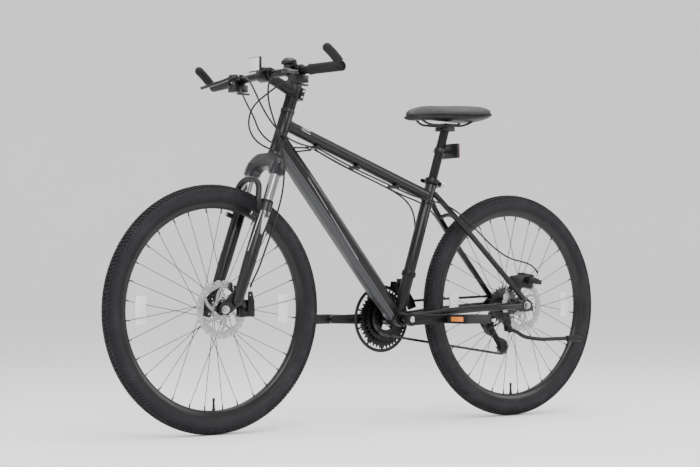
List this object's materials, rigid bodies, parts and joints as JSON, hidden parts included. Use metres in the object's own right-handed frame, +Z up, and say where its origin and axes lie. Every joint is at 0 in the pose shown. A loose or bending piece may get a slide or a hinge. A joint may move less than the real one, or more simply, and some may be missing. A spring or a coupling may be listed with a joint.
{
  "type": "mountain bike",
  "caption": "Hardtail mountain bike with a suspension fork, disc brakes, triple chainset, derailleur gears, a folding kickstand and ergonomic grips.",
  "frame": {"origin": "on the ground, half way between the wheel axles, in the plane of the wheels", "axes": "+X forward, +Y to the rider's left, +Z up"},
  "size_m": [1.7597, 0.667, 1.0434],
  "materials": {
    "frame_paint": "gloss",
    "fork_paint": "satin",
    "black_alloy": "satin",
    "rim_alloy": "satin",
    "spoke_steel": "satin",
    "rotor_steel": "satin",
    "drive_steel": "satin",
    "mech_metal": "satin",
    "tyre_rubber": "matt",
    "cable_housing": "satin",
    "grip_rubber": "matt",
    "black_plastic": "satin",
    "lever_alloy": "satin",
    "saddle_vinyl": "satin"
  },
  "bodies": {
    "frame": {"head_tube": "frame_paint", "top_tube": "frame_paint", "down_tube": "frame_paint", "seat_tube": "frame_paint", "seatstays": "frame_paint", "chainstays": "frame_paint", "bottom_bracket_cartridge": "rotor_steel", "seat_clamp": "black_alloy", "rear_axle": "rotor_steel", "rear_brake_calliper": "mech_metal", "front_derailleur_clamp": "mech_metal", "rear_derailleur_body": "mech_metal", "rear_derailleur_links": "mech_metal", "frame_cables": "cable_housing", "chain": "drive_steel"},
    "saddle": {"seat_post": "black_alloy", "saddle_base": "black_plastic", "saddle_cover": "saddle_vinyl", "rear_reflector": "black_plastic"},
    "clamp_lever": {"seat_clamp_lever": "rotor_steel"},
    "kickstand": {"kickstand_leg": "black_alloy"},
    "rear_brake": {"rear_brake_arm": "mech_metal"},
    "front_mech": {"front_derailleur_cage": "drive_steel"},
    "rear_mech": {"rear_derailleur_cage_knuckle": "mech_metal"},
    "rear_mech_cage": {"rear_derailleur_cage": "drive_steel"},
    "guide_pulley": {"guide_pulley": "black_plastic"},
    "tension_pulley": {"tension_pulley": "black_plastic"},
    "rear_wheel": {"rear_tyre": "tyre_rubber", "rear_rim": "rim_alloy", "rear_spokes": "spoke_steel", "rear_hub": "rim_alloy", "rear_rotor": "rotor_steel"},
    "freewheel": {"freewheel_cogs": "drive_steel"},
    "cranks": {"chainset": "black_alloy", "left_crank": "black_alloy"},
    "left_pedal": {"left_pedal": "black_plastic"},
    "right_pedal": {"right_pedal": "black_plastic"},
    "steering": {"fork_crown": "fork_paint", "stem": "black_alloy", "handlebar": "black_alloy", "grips": "grip_rubber", "brake_shift_units": "black_plastic", "bell": "black_plastic", "front_reflector": "black_plastic", "steering_cables": "cable_housing"},
    "left_lever": {"left_brake_lever": "lever_alloy"},
    "right_lever": {"right_brake_lever": "lever_alloy"},
    "left_trigger": {"left_shift_trigger": "black_plastic"},
    "right_trigger": {"right_shift_trigger": "black_plastic"},
    "striker": {"bell_striker": "black_plastic"},
    "fork_legs": {"fork_lowers": "fork_paint", "front_axle": "rotor_steel", "front_brake_calliper": "mech_metal", "front_brake_cable": "cable_housing"},
    "front_brake": {"front_brake_arm": "mech_metal"},
    "front_wheel": {"front_tyre": "tyre_rubber", "front_rim": "rim_alloy", "front_spokes": "spoke_steel", "front_hub": "rim_alloy", "front_rotor": "rotor_steel"}
  },
  "joints": [
    {"name": "steer", "type": "hinge", "parent": "frame", "child": "steering", "pos_m": [0.318, 0, 0.831], "axis": [-0.3338, 0, 0.9426], "range_deg": [-55, 55], "deforming": ["steering_cables"]},
    {"name": "suspension", "type": "slide", "parent": "steering", "child": "fork_legs", "axis": [-0.3338, 0, 0.9426], "range_m": [0, 0.075], "stiffness_N_per_m": 5000, "springref_m": -0.01, "deforming": ["front_brake_cable"]},
    {"name": "front_wheel_spin", "type": "hinge", "parent": "fork_legs", "child": "front_wheel", "pos_m": [0.54, 0, 0.34], "axis": [0, 1, 0], "continuous": true},
    {"name": "rear_wheel_spin", "type": "hinge", "parent": "frame", "child": "rear_wheel", "pos_m": [-0.54, 0, 0.34], "axis": [0, 1, 0], "continuous": true},
    {"name": "crank_spin", "type": "hinge", "parent": "frame", "child": "cranks", "pos_m": [-0.086, 0, 0.304], "axis": [0, 1, 0], "continuous": true, "deforming": ["chain"]},
    {"name": "freewheel_spin", "type": "hinge", "parent": "frame", "child": "freewheel", "pos_m": [-0.54, 0, 0.34], "axis": [0, 1, 0], "continuous": true},
    {"name": "left_pedal_spin", "type": "hinge", "parent": "cranks", "child": "left_pedal", "pos_m": [-0.256, 0.075, 0.304], "axis": [0, 1, 0], "continuous": true},
    {"name": "right_pedal_spin", "type": "hinge", "parent": "cranks", "child": "right_pedal", "pos_m": [0.084, -0.073, 0.304], "axis": [0, 1, 0], "continuous": true},
    {"name": "front_mech_shift", "type": "slide", "parent": "frame", "child": "front_mech", "axis": [0, -1, 0], "range_m": [0, 0.014]},
    {"name": "rear_mech_shift", "type": "slide", "parent": "frame", "child": "rear_mech", "axis": [0, 0.8824, -0.4706], "range_m": [0, 0.034], "deforming": ["rear_derailleur_links"]},
    {"name": "rear_mech_cage_swing", "type": "hinge", "parent": "rear_mech", "child": "rear_mech_cage", "pos_m": [-0.508, -0.06, 0.272], "axis": [0, -1, 0], "range_deg": [-8, 65]},
    {"name": "guide_pulley_spin", "type": "hinge", "parent": "rear_mech_cage", "child": "guide_pulley", "pos_m": [-0.508, -0.06, 0.272], "axis": [0, 1, 0], "continuous": true},
    {"name": "tension_pulley_spin", "type": "hinge", "parent": "rear_mech_cage", "child": "tension_pulley", "pos_m": [-0.556, -0.06, 0.2092], "axis": [0, 1, 0], "continuous": true},
    {"name": "left_brake_lever", "type": "hinge", "parent": "steering", "child": "left_lever", "pos_m": [0.38992, 0.128, 0.99595], "axis": [0.2123, 0.1393, 0.9672], "range_deg": [0, 20], "stiffness_Nm_per_rad": 0.3, "springref_deg": -11.46},
    {"name": "right_brake_lever", "type": "hinge", "parent": "steering", "child": "right_lever", "pos_m": [0.38992, -0.128, 0.99595], "axis": [-0.2123, 0.1393, -0.9672], "range_deg": [0, 20], "stiffness_Nm_per_rad": 0.3, "springref_deg": -11.46},
    {"name": "front_brake_arm", "type": "hinge", "parent": "fork_legs", "child": "front_brake", "pos_m": [0.46205, 0.039, 0.34272], "axis": [0, -1, 0], "range_deg": [0, 18]},
    {"name": "rear_brake_arm", "type": "hinge", "parent": "frame", "child": "rear_brake", "pos_m": [-0.55354, 0.052, 0.41681], "axis": [0, 1, 0], "range_deg": [0, 18]},
    {"name": "left_shift_trigger", "type": "hinge", "parent": "steering", "child": "left_trigger", "pos_m": [0.363, 0.146, 0.95078], "axis": [0, 0, -1], "range_deg": [0, 28], "stiffness_Nm_per_rad": 0.1, "springref_deg": -8.59},
    {"name": "right_shift_trigger", "type": "hinge", "parent": "steering", "child": "right_trigger", "pos_m": [0.363, -0.146, 0.95078], "axis": [0, 0, 1], "range_deg": [0, 28], "stiffness_Nm_per_rad": 0.1, "springref_deg": -8.59},
    {"name": "bell_striker", "type": "hinge", "parent": "steering", "child": "striker", "pos_m": [0.36347, 0.1335, 1.00626], "axis": [0, 0, 1], "range_deg": [0, 30], "stiffness_Nm_per_rad": 0.05, "springref_deg": -5.73},
    {"name": "seat_post_height", "type": "slide", "parent": "frame", "child": "saddle", "axis": [-0.309, 0, 0.9511], "range_m": [-0.05, 0.1]},
    {"name": "seat_clamp_lever", "type": "hinge", "parent": "frame", "child": "clamp_lever", "pos_m": [-0.25199, -0.02, 0.70302], "axis": [0.309, 0, -0.9511], "range_deg": [0, 135]},
    {"name": "kickstand", "type": "hinge", "parent": "frame", "child": "kickstand", "pos_m": [-0.461, 0.0845, 0.269], "axis": [0.1744, -0.9691, -0.1744], "range_deg": [0, 78]}
  ],
  "couplings": [
    {"joint": "freewheel_spin", "follows": "crank_spin", "ratio": 1.7143},
    {"joint": "guide_pulley_spin", "follows": "crank_spin", "ratio": -2.1818},
    {"joint": "tension_pulley_spin", "follows": "crank_spin", "ratio": 2.1818},
    {"joint": "front_brake_arm", "follows": "left_brake_lever", "ratio": 0.9},
    {"joint": "rear_brake_arm", "follows": "right_brake_lever", "ratio": 0.9}
  ]
}
